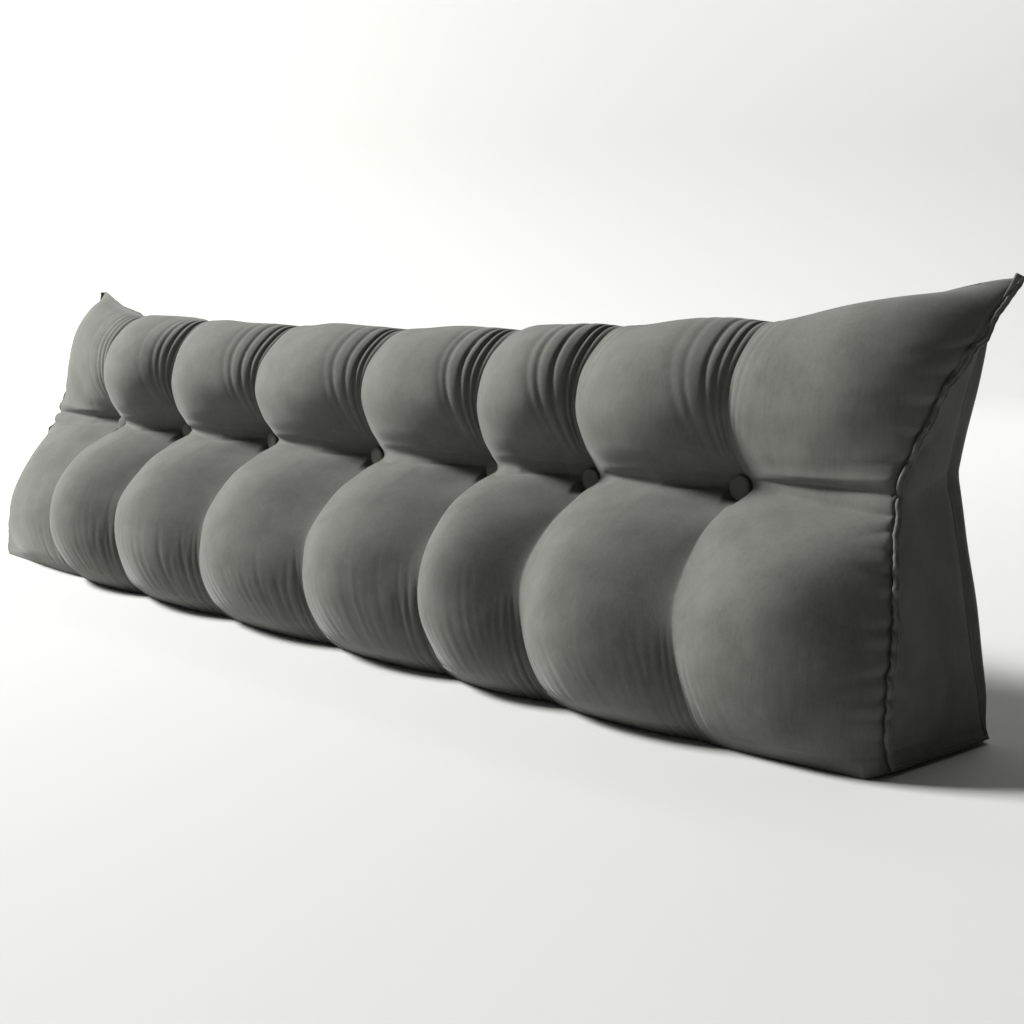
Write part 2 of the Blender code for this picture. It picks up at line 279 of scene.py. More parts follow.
def top_line(x):
    """Height of the pillow's top along its length: lowest in the middle, highest at the ears."""
    outer = max(abs(BUTTONS[0][0]), BUTTONS[-1][0])
    if abs(x) < outer:
        return TOP_MIDDLE + (TOP_OUTER_FOLD - TOP_MIDDLE) * (x / outer) ** 2
    share = (abs(x) - outer) / (LENGTH / 2 - outer)
    return TOP_OUTER_FOLD + (EAR_HEIGHT - TOP_OUTER_FOLD) * share**1.5


def stretched(section, x):
    """A section with its upper part raised or lowered to the top line at x, and its belly tapered."""
    y, z = section[:, 0].copy(), section[:, 1].copy()
    tallest = 0.440
    z += (top_line(x) - tallest) * ease((z - 0.24) / (tallest - 0.24))
    y += BELLY_TAPER * min(1.0, abs(x) / LENGTH * 2) ** 2 * ease(-y / 0.2) * ease((0.32 - z) / 0.2)
    return np.column_stack([y, z])


def risen(section, rise):
    """A fold's section with its waist moved up to where its own button is sewn."""
    near = np.exp(-(((section[:, 1] - BUTTON_ROW_HEIGHT) / 0.07) ** 2))
    return section + np.column_stack([np.zeros(len(section)), rise * near])


def pull_in(z):
    """How far the end seam is drawn in at a height, where the outer button pulls on it."""
    reach = np.clip(1.0 - np.abs(z - END_PULL_HEIGHT) / END_PULL_REACH, 0.0, 1.0)
    return END_PULL_IN * reach**1.25


def shifted(seam, distance):
    """An end seam with the middle of its front run moved, as one end stands fuller than the other."""
    front = ease(-seam[:, 0] / 0.08) * ease((seam[:, 1] - 0.05) / 0.15)
    return seam + np.column_stack([distance * front, np.zeros(len(seam))])


def lean(z):
    """How far a fold has wandered along the pillow at a height."""
    return FOLD_LEAN * ease((0.25 - z) / 0.25)


def lobe_height(lobe, share, z):
    """Height of a lobe between two folds: 0 in the fold and 1 on the crown, softer at waist and belly."""
    waist = np.exp(-(((z - WAIST_HEIGHT) / WAIST_REACH) ** 2))
    belly = np.exp(-(((z - BELLY_HEIGHT) / BELLY_REACH) ** 2))
    on_left = (WAIST_SHAPE_LEFT, BELLY_LEFT[lobe])
    waist_shape, softer = on_left if share < 0 else (WAIST_SHAPE_RIGHT, BELLY_RIGHT)
    shape = LOBE_SHAPE + (waist_shape - LOBE_SHAPE) * waist + softer * belly * (1.0 - waist)
    return (1.0 - share * share) ** shape


def back_share(z, on_back):
    """How far the back's own fullness counts at a height: not at the ridge and the floor, which it shares."""
    return ease((EAR_HEIGHT - z) / 0.08) * ease(z / 0.05) if on_back else np.zeros(len(z))


def end_height(share, z, on_back):
    """Height of an end lobe beside the end seam: a rounded start, quicker on the back and underneath."""
    shape = END_SHAPE + (END_SHAPE_BACK - END_SHAPE) * back_share(z, on_back)
    slow = (1.0 - share * share) ** shape
    quick = min(1.0, (1.0 - abs(share)) / UNDERSIDE_ROUNDING) ** 0.5
    floor = np.exp(-((z / 0.030) ** 2))
    return slow * (1.0 - floor) + quick * floor


def flattened(crown, low_edge, high_edge, share, fullness, on_back):
    """The crown of an end lobe, brought closer to the straight line between its two edges."""
    low, high = fullness
    between = low_edge + (high_edge - low_edge) * (share + 1) / 2
    fullness = low + (high - low) * ease((crown[:, 1] - 0.2) / 0.1)
    fullness += (BACK_LOBE - fullness) * back_share(crown[:, 1], on_back)
    y = between[:, 0] + (crown[:, 0] - between[:, 0]) * fullness
    return np.column_stack([y, crown[:, 1]])


def column(lobe, share, sections, on_back):
    """One section of the pillow, as rows of (x, y, z), at a place across a lobe."""
    fold, crown, seam = sections
    x_low = BUTTONS[lobe - 1][0] if lobe > 0 else -LENGTH / 2
    x_high = BUTTONS[lobe][0] if lobe < len(BUTTONS) else LENGTH / 2
    x = (x_low + x_high) / 2 + share * (x_high - x_low) / 2
    seam = shifted(seam, LEFT_SEAM_SHIFT if lobe == 0 else RIGHT_SEAM_SHIFT)
    low_edge = stretched(risen(fold, BUTTONS[lobe - 1][1]), x_low) if lobe > 0 else seam
    high_edge = stretched(risen(fold, BUTTONS[lobe][1]), x_high) if lobe < len(BUTTONS) else seam
    high = stretched(crown, x)
    end_share = 0.0
    if lobe == 0:
        end_share = (1.0 - share) / 2
        high = flattened(high, low_edge, high_edge, share, LEFT_LOBE, on_back)
    if lobe == len(BUTTONS):
        end_share = (1.0 + share) / 2
        high = flattened(high, low_edge, high_edge, share, RIGHT_LOBE, on_back)
    edge = low_edge if share < 0 else high_edge
    by_the_end = end_share > 0.5
    height = end_height(share, edge[:, 1], on_back) if by_the_end else lobe_height(lobe, share, edge[:, 1])
    yz = edge + (high - edge) * height[:, None]
    yz[:, 1] = np.maximum(yz[:, 1], 0.0)
    quickness = 1.5 + 3.5 * back_share(yz[:, 1], on_back)
    drawn_in = math.copysign(1.0, x) * pull_in(yz[:, 1]) * end_share**quickness
    return np.column_stack([x + lean(yz[:, 1]) * (1.0 - end_share) - drawn_in, yz])


def spread(place):
    """A place across a lobe, -1 to 1, with the mesh drawn together beside the folds for the pleats."""
    t = 1.0 - abs(place)
    return math.copysign(1.0 - (0.45 * t + 0.55 * t**3), place)


def panel_grid(lines, rows, steps):
    """One panel of the pillow as a grid of places: sections from left to right, rows along each."""
    sections = section_rows(lines, rows)
    on_back = lines is BACK_LINES
    made = []
    for lobe in range(LOBES):
        last = steps + 1 if lobe == LOBES - 1 else steps
        shares = [spread(-1.0 + 2.0 * k / steps) for k in range(last)]
        made.extend(column(lobe, share, sections, on_back) for share in shares)
    return np.array(made) + np.array([0.0, -BOX_MIDDLE_Y, 0.0])


def grid_normals(places):
    """Directions out of the front of a grid of places."""
    across = np.gradient(places, axis=0)
    up = np.gradient(places, axis=1)
    normal = np.cross(across, up)
    return normal / np.maximum(np.linalg.norm(normal, axis=2), 1e-12)[:, :, None]


class Skin:
    """The whole closed skin as one grid: round each section from the back edge over floor, front and back."""

    def __init__(self, steps, front_rows, back_rows, floor_rows):
        """Lays out the form before any pleat is pressed into it."""
        floor = panel_grid(FLOOR_LINES, floor_rows, steps)
        front = panel_grid(FRONT_LINES, front_rows, steps)
        back = panel_grid(BACK_LINES, back_rows, steps)
        self.places = np.concatenate([floor[:, :-1], front[:, :-1], back], axis=1)
        self.steps = steps
        self.corner = floor_rows - 1
        self.ridge = self.corner + front_rows - 1
        self.sewn_places = self.places.copy()
        self.normals = grid_normals(self.places)
        self.measure()

    def measure(self):
        """Distances over the cloth from each place to the folds on its two sides, and along its section."""
        columns, rows, _ = self.places.shape
        self.lobe = np.minimum(np.arange(columns) // self.steps, LOBES - 1)
        self.from_left = np.zeros((columns, rows))
        self.from_right = np.zeros((columns, rows))
        stride = np.linalg.norm(np.diff(self.places, axis=0), axis=2)
        for lobe in range(LOBES):
            first = lobe * self.steps
            run = np.vstack([np.zeros(rows), np.cumsum(stride[first : first + self.steps], axis=0)])
            last = first + self.steps + (1 if lobe == LOBES - 1 else 0)
            self.from_left[first:last] = run[: last - first]
            self.from_right[first:last] = run[-1] - run[: last - first]
        climb = np.linalg.norm(np.diff(self.places, axis=1), axis=2)
        self.run = np.hstack([np.zeros((columns, 1)), np.cumsum(climb, axis=1)])
        self.past_ridge = np.clip(self.run - self.run[:, self.ridge][:, None], 0.0, None)
        self.before_corner = np.clip(self.run[:, self.corner][:, None] - self.run, 0.0, None)

    def press(self, depth):
        """Moves the skin inwards by a depth at each place."""
        self.places = self.places - self.normals * depth[:, :, None]


def groove(distance, width):
    """A soft-edged groove across a distance, 1 at its bottom."""
    return np.exp(-((np.abs(distance) / width) ** 1.5))


def uneven(skin, amount, shortest, longest, seed):
    """Soft hand-made unevenness of the filling, from a few long waves that cross."""
    chance = np.random.default_rng(seed)
    total = np.zeros(skin.run.shape)
    x = skin.places[:, :, 0]
    for _ in range(WAVES):
        size = chance.uniform(shortest, longest)
        turn = chance.uniform(0, math.pi)
        phase = chance.uniform(0, 2 * math.pi)
        total += np.sin(2 * math.pi * (x * math.cos(turn) + skin.run * math.sin(turn)) / size + phase)
    return amount * total / math.sqrt(WAVES)


def fold_pleats(skin, depth_scale):
    """Fine pleats beside the folds: the cloth is gathered into them at the top and bottom seams."""
    chance = np.random.default_rng(7)
    z = skin.places[:, :, 2]
    on_front = np.exp(-skin.past_ridge / 0.022) * np.exp(-skin.before_corner / 0.012)
    total = np.zeros(z.shape)
    for number, (_, rise) in enumerate(BUTTONS):
        left_lobe = (skin.lobe == number)[:, None]
        right_lobe = (skin.lobe == number + 1)[:, None]
        waist = BUTTON_ROW_HEIGHT + rise
        up = ease((z - waist) / 0.19)
        down = ease((0.20 - z) / 0.17)
        above = ease((z - waist - 0.020) / 0.060) * PLEAT_STRENGTH[number][0]
        below = ease((0.145 - z) / 0.10) * PLEAT_STRENGTH[number][1]
        for distance, depth, width in PLEATS_ABOVE:
            place = distance * chance.uniform(0.88, 1.12) * (0.42 + 0.58 * up)
            pressed = left_lobe * above * depth * chance.uniform(0.7, 1.2)
            total += pressed * groove(skin.from_right - place, width)
        for distance, depth, width in PLEATS_BELOW:
            place = distance * chance.uniform(0.8, 1.2) * (0.55 + 0.45 * down)
            pressed = left_lobe * below * depth * chance.uniform(0.7, 1.2)
            total += pressed * groove(skin.from_right - place, width)
        for distance, depth, width in PLEATS_BESIDE:
            place = distance * chance.uniform(0.8, 1.2) * (0.5 + 0.5 * np.maximum(up, down))
            reach = np.maximum(above * 0.6, below)
            pressed = right_lobe * reach * depth * chance.uniform(0.6, 1.2)
            total += pressed * groove(skin.from_left - place, width)
    return total * on_front * depth_scale


def belly_streaks(skin, depth_scale):
    """Faint pleats all over the lower lobes, where the bottom seam gathers the cloth."""
    chance = np.random.default_rng(41)
    z = skin.places[:, :, 2]
    on_front = (skin.past_ridge <= 0) * np.exp(-skin.before_corner / 0.012)
    total = np.zeros(z.shape)
    for lobe, strength in enumerate(BELLY_STREAKS):
        here = (skin.lobe == lobe)[:, None] * on_front * ease((0.215 - z) / 0.15) * strength
        width = skin.from_left + skin.from_right
        share = skin.from_left / np.maximum(width, 1e-6)
        place = 0.06
        while place < 0.94:
            place += chance.uniform(0.030, 0.070)
            drift = chance.uniform(-0.10, 0.25) * ease((0.20 - z) / 0.2)
            fade = ease((chance.uniform(0.10, 0.22) - z) / 0.07)
            depth = chance.uniform(0.0004, 0.0012)
            distance = (share - place - drift * (place - 0.5) * 0.4) * width
            total += here * fade * depth * groove(distance, 0.0030)
    return total * depth_scale


def waist_creases(skin, depth_scale):
    """The thin creases that run along the row of buttons, from one button towards the next."""
    chance = np.random.default_rng(11)
    x, z = skin.places[:, :, 0], skin.places[:, :, 2]
    front = (skin.past_ridge <= 0) & (skin.before_corner <= 0)
    total = np.zeros(z.shape)
    for lobe in range(1, LOBES - 1):
        here = (skin.lobe == lobe)[:, None] & front
        low, high = BUTTONS[lobe - 1], BUTTONS[lobe]
        share = np.clip((x - low[0]) / (high[0] - low[0]), 0.0, 1.0)
        level = BUTTON_ROW_HEIGHT + low[1] + (high[1] - low[1]) * share
        wave = 0.003 * np.sin(6 * share + chance.uniform(0, 6))
        reach = ease(share / 0.30) * ease((0.97 - share) / 0.22)
        total += here * reach * 0.0045 * groove(z - level - 0.006 - wave, 0.0040)
        upper = ease((share - 0.45) / 0.2) * ease((0.98 - share) / 0.2)
        total += here * upper * 0.0025 * groove(z - level - 0.018 - wave, 0.0040)
        for angle in (-0.16, 0.05, 0.22):
            near = ease((x - low[0] - 0.012) / 0.015) * ease((low[0] + 0.075 - x) / 0.05)
            line = z - level - (x - low[0]) * (angle + chance.uniform(-0.04, 0.04))
            total += here * near * 0.0016 * groove(line, 0.0028)
    return total * depth_scale


def end_folds(skin, depth_scale):
    """The two long creases from the outer buttons to the end seams."""
    x, z = skin.places[:, :, 0], skin.places[:, :, 2]
    front = (skin.past_ridge <= 0) & (skin.before_corner <= 0)
    total = np.zeros(z.shape)
    for lobe, number, side in ((0, 0, -1.0), (LOBES - 1, len(BUTTONS) - 1, 1.0)):
        here = (skin.lobe == lobe)[:, None] & front
        start, rise = BUTTONS[number]
        share = np.clip(side * (x - start) / (LENGTH / 2 - 0.045 - side * start), 0.0, 1.0)
        level = BUTTON_ROW_HEIGHT + rise
        upper = level + 0.010 + 0.004 * share
        lower = level - 0.002
        near_seam = ease(share / 0.55)
        total += here * ease(share / 0.18) * (0.35 + 0.65 * near_seam) * 0.0060 * groove(z - upper, 0.0050)
        total += here * near_seam * 0.0040 * groove(z - lower + 0.012 * (share - 0.6), 0.0042)
        total -= here * near_seam * 0.0030 * groove(z - upper - 0.013, 0.0070)
    return total * depth_scale


def end_gathers(skin, depth_scale):
    """Short gathers that run in from the seams of the end panels."""
    chance = np.random.default_rng(23)
    z = skin.places[:, :, 2]
    on_front = np.exp(-skin.past_ridge / 0.02) * (skin.before_corner <= 0)
    total = np.zeros(z.shape)
    for lobe, distance in ((0, skin.from_left), (LOBES - 1, skin.from_right)):
        here = (skin.lobe == lobe)[:, None] * on_front
        for height, depth, length in END_GATHERS:
            slope = chance.uniform(-0.25, 0.15)
            level = z - height - chance.uniform(-0.004, 0.004) - slope * distance
            fade = np.exp(-distance / (length * 0.55))
            total += here * depth * fade * groove(level, 0.0042 + 0.05 * distance)
            total -= here * depth * 0.6 * fade * groove(level - 0.010, 0.0060 + 0.05 * distance)
    return total * depth_scale


def seam_valleys(skin):
    """Draws the end seams in, so that the cloth rolls over them: shallow in front and deep behind."""
    run = skin.run[0] / skin.run[0, -1]
    start, ridge = run[skin.corner], run[skin.ridge]
    front = ease((run - start) / 0.01) * ease((ridge - run) / 0.03)
    back = ease((run - ridge) / 0.03) * ease((1.0 - run) / 0.02)
    depth = SEAM_DEPTH_FRONT * front + SEAM_DEPTH_BACK * back
    for lobe, side, distance in ((0, -1.0, skin.from_left), (LOBES - 1, 1.0, skin.from_right)):
        here = skin.lobe == lobe
        near = np.exp(-((distance[here] / SEAM_ROLL) ** 1.3))
        skin.places[here, :, 0] -= side * depth[None] * near


def button_pits(skin, seats, radius):
    """Where the cloth is drawn in around the buttons, and held flat behind them."""
    places = skin.places
    for seat in seats:
        near = (np.abs(places[:, :, 0] - seat[0]) < 0.09) & (np.abs(places[:, :, 2] - seat[2]) < 0.09)
        near &= places[:, :, 1] < 0.10
        spots = places[near]
        away = np.hypot(spots[:, 0] - seat[0], spots[:, 2] - seat[2])
        beside = (spots[:, 0] - seat[0] + HOLLOW_SHIFT) / HOLLOW_WIDTH
        hollow = beside**2 + ((spots[:, 2] - seat[2]) / HOLLOW_HEIGHT) ** 2
        spots[:, 1] += HOLLOW_DEPTH * np.exp(-hollow)
        spots[:, 1] += RIM_DEPTH * np.exp(-((away / (radius * 1.6)) ** 2))
        held = ease((radius * 1.35 - away) / (radius * 0.35))
        flat = np.maximum(spots[:, 1], seat[1] + 0.0005)
        spots[:, 1] = spots[:, 1] * (1.0 - held) + flat * held
        places[near] = spots


def laid_on(made, places):
    """Adds a grid of faces to a bmesh and lays its points on a grid of places."""
    columns, rows = places.shape[:2]
    grid = bmesh.ops.create_grid(made, x_segments=columns - 1, y_segments=rows - 1, size=1.0)
    for point in grid["verts"]:
        across = round((point.co.x + 1.0) / 2.0 * (columns - 1))
        up = round((point.co.y + 1.0) / 2.0 * (rows - 1))
        point.co = places[across, up]
    return grid["verts"]


def panel_between(ring, corner, ridge):
    """A grid of places between the front and the back run of an end seam."""
    front = ring[corner : ridge + 1]
    back = ring[ridge:][::-1]
    read = np.linspace(0, len(back) - 1, len(front))
    first = np.minimum(read.astype(int), len(back) - 2)
    part = (read - first)[:, None]
    back = back[first] * (1 - part) + back[first + 1] * part
    share = np.linspace(0.0, 1.0, corner + 1)[:, None, None]
    grid = back[None] * (1 - share) + front[None] * share
    grid[:, 0] = ring[: corner + 1]
    return grid


def end_panel_grid(skin, side):
    """Places of an end panel: rows from the floor seam up to the ear, dished a little, with a floor seam."""
    end = 0 if side < 0 else -1
    grid = panel_between(skin.sewn_places[end], skin.corner, skin.ridge)
    moved = panel_between(skin.places[end], skin.corner, skin.ridge) - grid
    columns, rows = grid.shape[:2]
    share = np.linspace(0.0, 1.0, columns)[:, None]
    height = np.linspace(0.0, 1.0, rows)[None]
    width = np.linalg.norm(grid[-1] - grid[0], axis=1)[None]
    near = np.exp(-share * width / 0.008) + np.exp(-(1.0 - share) * width / 0.008)
    near[0] = near[-1] = 1.0
    near[:, 0] = near[:, -1] = 1.0
    grid += moved * np.clip(near, 0.0, 1.0)[:, :, None]
    inside = np.sin(math.pi * share) * np.sin(math.pi * height)
    grid[:, :, 0] -= side * END_DISH * inside
    z = grid[:, :, 2]
    across = ease(share / 0.03) * ease((1.0 - share) / 0.03)
    grid[:, :, 0] -= side * 0.0025 * groove(z - 0.020 - 0.004 * share, 0.0022) * across
    grid[:, :, 0] += side * 0.0020 * groove(z - 0.010, 0.0080) * across * (z > 0.004)
    return grid


def finished(name, made, finish):
    """A bmesh as a named, smooth-shaded object in the scene."""
    bmesh.ops.recalc_face_normals(made, faces=made.faces)
    mesh = bpy.data.meshes.new(name)
    made.to_mesh(mesh)
    made.free()
    mesh.materials.append(finish)
    mesh.polygons.foreach_set("use_smooth", [True] * len(mesh.polygons))
    piece = bpy.data.objects.new(name, mesh)
    bpy.context.scene.collection.objects.link(piece)
    return piece


# Finishes

def node(tree, kind, settings=None, **links):
    """Adds a node, sets its values and links its inputs, given as input name or number to socket."""
    made = tree.nodes.new(kind)
    for key, value in (settings or {}).items():
        if key in made.inputs:
            made.inputs[key].default_value = value
        else:
            setattr(made, key, value)
    for key, socket in links.items():
        name = key.replace("_", " ").strip()
        place = made.inputs[int(name)] if name.isdigit() else made.inputs[name]
        tree.links.new(socket, place)
    return made


def brushed_cloth(name, colour, dark, grain=1.0):
    """Polyester cloth with a short brushed pile, as on suede-like upholstery.

    The pile hides the weave: what shows is a fine soft grain, brush marks that run up and down the
    lobes, patches where the nap lies another way, and a pale bloom at grazing angles.
    """
    made = bpy.data.materials.new(name)
    made.use_nodes = True
    tree = made.node_tree
    shader = tree.nodes["Principled BSDF"]
    shader.inputs["Roughness"].default_value = 0.86
    shader.inputs["Specular IOR Level"].default_value = 0.18
    shader.inputs["Sheen Weight"].default_value = 0.22
    shader.inputs["Sheen Roughness"].default_value = 0.45
    shader.inputs["Sheen Tint"].default_value = (0.75, 0.76, 0.74, 1.0)
    where = node(tree, "ShaderNodeTexCoord").outputs["Object"]

    # Tufts of pile 1.6 mm across, drawn coarser than the real ones so that they show
    tufts = {"Scale": 620.0 / grain, "Detail": 3.0, "Roughness": 0.62}
    pile = node(tree, "ShaderNodeTexNoise", tufts, Vector=where).outputs["Fac"]
    # Brush marks 4 mm wide and 6 cm long
    stretch = node(tree, "ShaderNodeMapping", {"Scale": (260.0, 260.0, 16.0)}, Vector=where).outputs["Vector"]
    marks = node(tree, "ShaderNodeTexNoise", {"Scale": 1.0, "Detail": 2.0}, Vector=stretch).outputs["Fac"]
    # Patches of nap, about 4 cm across
    nap = {"Scale": 24.0, "Detail": 3.0, "Roughness": 0.55}
    patches = node(tree, "ShaderNodeTexNoise", nap, Vector=where).outputs["Fac"]

    # How much of the brushed colour shows: most from the patches, then the pile, then the marks
    # Each pattern with the range of it that counts, and its most
    patterns = ((patches, 0.35, 0.65, 0.45), (marks, 0.3, 0.7, 0.25), (pile, 0.3, 0.7, 0.35))
    parts = []
    for pattern, low, high, most in patterns:
        settings = {"From Min": low, "From Max": high, "To Max": most}
        parts.append(node(tree, "ShaderNodeMapRange", settings, Value=pattern).outputs["Result"])
    both = node(tree, "ShaderNodeMath", {"operation": "ADD"}, _0=parts[0], _1=parts[1]).outputs["Value"]
    total = node(tree, "ShaderNodeMath", {"operation": "ADD", "use_clamp": True}, _0=both, _1=parts[2])
    blend = node(tree, "ShaderNodeMix", {"data_type": "RGBA"}, Factor=total.outputs["Value"])
    away, towards = [socket for socket in blend.inputs if socket.type == "RGBA"]
    away.default_value = (*linear(dark), 1.0)
    towards.default_value = (*linear(colour), 1.0)
    mixed = next(socket for socket in blend.outputs if socket.type == "RGBA")
    tree.links.new(mixed, shader.inputs["Base Color"])

    fine = node(tree, "ShaderNodeBump", {"Strength": 0.35, "Distance": 0.0006}, Height=pile).outputs["Normal"]
    soft = node(tree, "ShaderNodeBump", {"Strength": 0.5, "Distance": 0.0012}, Height=patches, Normal=fine)
    tree.links.new(soft.outputs["Normal"], shader.inputs["Normal"])
    return made


def plain_finish(name, colour, rough):
    """A plain matt finish for the stage."""
    made = bpy.data.materials.new(name)
    made.use_nodes = True
    shader = made.node_tree.nodes["Principled BSDF"]
    shader.inputs["Base Color"].default_value = (*linear(colour), 1.0)
    shader.inputs["Roughness"].default_value = rough
    shader.inputs["Specular IOR Level"].default_value = 0.1
    return made


# What a user would change

class PillowSizes(bpy.types.PropertyGroup):
    """Sizes of the sewn details."""

    steps: bpy.props.IntProperty(
        name="Steps per lobe", description="Mesh steps across a lobe", default=100, min=12
    )
    pleats: bpy.props.FloatProperty(name="Pleats", description="Depth of the pleats, 1 as made", default=1.0)
    gathers: bpy.props.FloatProperty(
        name="Gathers", description="Depth of the seam gathers, 1 as made", default=1.0
    )
    creases: bpy.props.FloatProperty(
        name="Creases", description="Depth of the long creases, 1 as made", default=1.0
    )
    button_radius: bpy.props.FloatProperty(
        name="Button radius", description="Radius of a covered button", default=0.0145, unit="LENGTH"
    )
    button_height: bpy.props.FloatProperty(
        name="Button height", description="Thickness of a covered button", default=0.009, unit="LENGTH"
    )
    welt_width: bpy.props.FloatProperty(
        name="Seam width", description="Width of the raised end seams", default=0.0090, unit="LENGTH"
    )
    welt_height: bpy.props.FloatProperty(
        name="Seam height", description="Height of the raised end seams", default=0.0028, unit="LENGTH"
    )


class PillowColours(bpy.types.PropertyGroup):
    """Colours of the cloth and of the stage."""

    cloth: bpy.props.StringProperty(
        name="Cloth", description="Brushed side of the cloth, sRGB hex", default="#666762"
    )
    nap: bpy.props.StringProperty(
        name="Nap", description="Cloth where the nap lies away, sRGB hex", default="#53544f"
    )
    floor: bpy.props.StringProperty(
        name="Floor", description="Floor and backdrop, sRGB hex", default="#cfcfcd"
    )


# Pieces

class PILLOW_OT_cushion(bpy.types.Operator):
    """Builds the sewn and filled cushion with its folds, pleats and gathers"""

    bl_idname = "pillow.cushion"
    bl_label = "Cushion"

    def execute(self, context):
        sizes = context.scene.pillow_sizes
        colours = context.scene.pillow_colours
        skin = Skin(sizes.steps, FRONT_ROWS, BACK_ROWS, FLOOR_ROWS)
        above_floor = skin.places[:, :, 2] > 0.02
        skin.press(uneven(skin, UNEVEN_HEIGHT, SHORTEST_WAVE, LONGEST_WAVE, 3) * above_floor)
        skin.press(fold_pleats(skin, sizes.pleats) + belly_streaks(skin, sizes.pleats))
        skin.press(waist_creases(skin, sizes.creases) + end_folds(skin, sizes.creases))
        skin.press(end_gathers(skin, sizes.gathers))
        seam_valleys(skin)
        button_pits(skin, button_seats(), sizes.button_radius)
        skin.places[:, :, 2] = np.maximum(skin.places[:, :, 2], 0.0)
        skin.places[:, -1] = skin.places[:, 0]
        made = bmesh.new()
        laid_on(made, skin.places)
        for side in (-1.0, 1.0):
            laid_on(made, end_panel_grid(skin, side))
        bmesh.ops.remove_doubles(made, verts=made.verts, dist=0.00002)
        cloth = brushed_cloth("brushed_grey_cloth", colours.cloth, colours.nap)
        piece = finished("cushion_skin", made, cloth)
        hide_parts("cushion")
        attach(piece, "root")
        SEAMS["left"] = skin.places[0, :-1].copy()
        SEAMS["right"] = skin.places[-1, :-1].copy()
        return {"FINISHED"}


def button_seats():
    """Middle of the back of each button, as the part has it."""
    seats = []
    for number in range(1, len(BUTTONS) + 1):
        low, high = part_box("button_%d" % number)
        seats.append((Vector(low) + Vector(high)) / 2 + Vector((0.0, (high[1] - low[1]) / 2, 0.0)))
    return seats


def button_profile(radius, height):
    """Half section of a covered button, from the middle of its face round to the middle of its back."""
    profile = []
    for k in range(13):
        angle = math.pi / 2 * k / 12
        reach = radius * math.sin(angle)
        profile.append((reach, -height * (0.55 + 0.45 * math.cos(angle) ** 0.8)))
    profile.append((radius, -height * 0.40))
    profile.append((radius * 0.96, -height * 0.15))
    profile.append((radius * 0.86, 0.0))
    profile.append((0.0, 0.0))
    return profile


class PILLOW_OT_buttons(bpy.types.Operator):
    """Builds the covered buttons"""

    bl_idname = "pillow.buttons"
    bl_label = "Covered buttons"

    def execute(self, context):
        sizes = context.scene.pillow_sizes
        colours = context.scene.pillow_colours
        cloth = brushed_cloth("button_cloth", colours.cloth, colours.nap, grain=0.8)
        chance = np.random.default_rng(5)
        for number, seat in enumerate(button_seats(), start=1):
            made = bmesh.new()
            profile = button_profile(sizes.button_radius, sizes.button_height)
            points = [made.verts.new((reach, y, 0.0)) for reach, y in profile]
            edges = [made.edges.new(pair) for pair in zip(points, points[1:])]
            bmesh.ops.spin(
                made,
                geom=points + edges,
                cent=(0, 0, 0),
                axis=(0, 1, 0),
                angle=2 * math.pi,
                steps=40,
                use_merge=True,
            )
            bmesh.ops.remove_doubles(made, verts=made.verts, dist=0.00001)
            for point in made.verts:
                turn = math.atan2(point.co.z, point.co.x)
                reach = math.hypot(point.co.x, point.co.z) / sizes.button_radius
                if point.co.y < -0.001 and reach > 0.5:
                    pucker = 0.00025 * math.sin(turn * 9 + number) * (reach - 0.5) * 2
                    point.co.y += pucker
            tilt = Vector((chance.uniform(-0.10, 0.10), 0.0, chance.uniform(-0.08, 0.08)))
            for point in made.verts:
                point.co.y += tilt.x * point.co.x + tilt.z * point.co.z
                point.co += seat
            piece = finished("covered_button_%d" % number, made, cloth)
            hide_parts("button_%d" % number)
            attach(piece, "root")
        return {"FINISHED"}


def outward(loop):
    """Directions in the section's plane that point out of a closed loop, one at each of its points."""
    tangent = np.roll(loop, -1, axis=0) - np.roll(loop, 1, axis=0)
    tangent /= np.maximum(np.linalg.norm(tangent, axis=1), 1e-12)[:, None]
    turned = np.column_stack([tangent[:, 1], -tangent[:, 0]])
    sign = np.sign(np.sum(turned * (loop - loop.mean(axis=0))))
    return turned * sign


def evenly(loop, count):
    """A closed loop read again at even steps."""
    closed = np.vstack([loop, loop[:1]])
    run = np.concatenate([[0.0], np.cumsum(np.linalg.norm(np.diff(closed, axis=0), axis=1))])
    read = np.linspace(0.0, run[-1], count, endpoint=False)
    return np.column_stack([np.interp(read, run, closed[:, k]) for k in range(3)])


def seam_wander(loop, seed):
    """How a hand-fed seam strays from its line: short waves and a few kinks where gathers push on it."""
    chance = np.random.default_rng(seed)
    run = np.arange(len(loop)) / len(loop)
    stray = np.zeros(len(loop))
    for turns in (37, 61, 83, 109):
        stray += chance.uniform(0.4, 1.0) * np.sin(2 * math.pi * (run * turns + chance.uniform()))
    stray *= 0.00035
    for height, push, length in SEAM_KINKS:
        front = loop[:, 1] < 0.12 + (loop[:, 2] - 0.42).clip(0)
        stray += front * push * groove(loop[:, 2] - height, length)
    return stray


